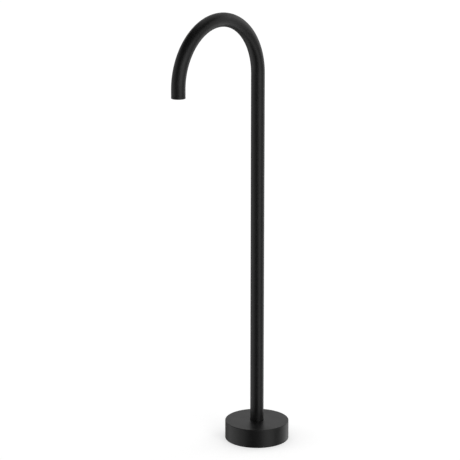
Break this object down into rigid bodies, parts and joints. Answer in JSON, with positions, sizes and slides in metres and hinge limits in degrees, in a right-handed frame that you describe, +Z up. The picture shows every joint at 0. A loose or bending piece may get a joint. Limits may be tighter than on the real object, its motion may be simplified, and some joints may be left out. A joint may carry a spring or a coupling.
{
  "type": "floor standing bath filler",
  "caption": "Tall bent-tube bath spout on a round drum cover, swivelling on a bolted floor socket that feeds it water.",
  "frame": {"origin": "the riser's axis where it meets the finished floor", "axes": "+Z up the riser, -Y from the riser towards the spout's mouth, +X across the spout"},
  "size_m": [0.152, 0.369, 1.04],
  "materials": {
    "black_coating": "satin",
    "turned_brass": "satin",
    "plated_steel": "satin",
    "stainless_steel": "satin",
    "gasket_rubber": "matte",
    "seal_rubber": "matte",
    "bearing_plastic": "matte",
    "aerator_plastic": "matte",
    "grille_plastic": "matte"
  },
  "bodies": {
    "base": {"base_gasket": "gasket_rubber", "base_plate": "plated_steel", "socket_body": "turned_brass", "socket_screws": "stainless_steel", "lock_screws": "stainless_steel", "lock_pads": "bearing_plastic", "lower_bush": "bearing_plastic", "upper_bush": "bearing_plastic", "lower_nipple_seal": "seal_rubber", "upper_nipple_seal": "seal_rubber", "inlet_washer": "seal_rubber", "inlet_strainer": "stainless_steel"},
    "riser": {"spout_tube": "black_coating", "riser_sleeve": "turned_brass", "outlet_collar": "black_coating", "aerator_seal": "seal_rubber", "aerator_housing": "aerator_plastic", "aerator_grille": "grille_plastic", "aerator_strainer": "grille_plastic"},
    "cover": {"cover_shell": "black_coating", "cover_ring": "aerator_plastic", "cover_seal": "seal_rubber"}
  },
  "joints": [
    {"name": "riser_swivel", "type": "hinge", "parent": "base", "child": "riser", "pos_m": [0, 0, 0], "axis": [0, 0, 1], "continuous": true},
    {"name": "cover_lift", "type": "slide", "parent": "riser", "child": "cover", "axis": [0, 0, 1], "range_m": [0, 0.84]}
  ]
}
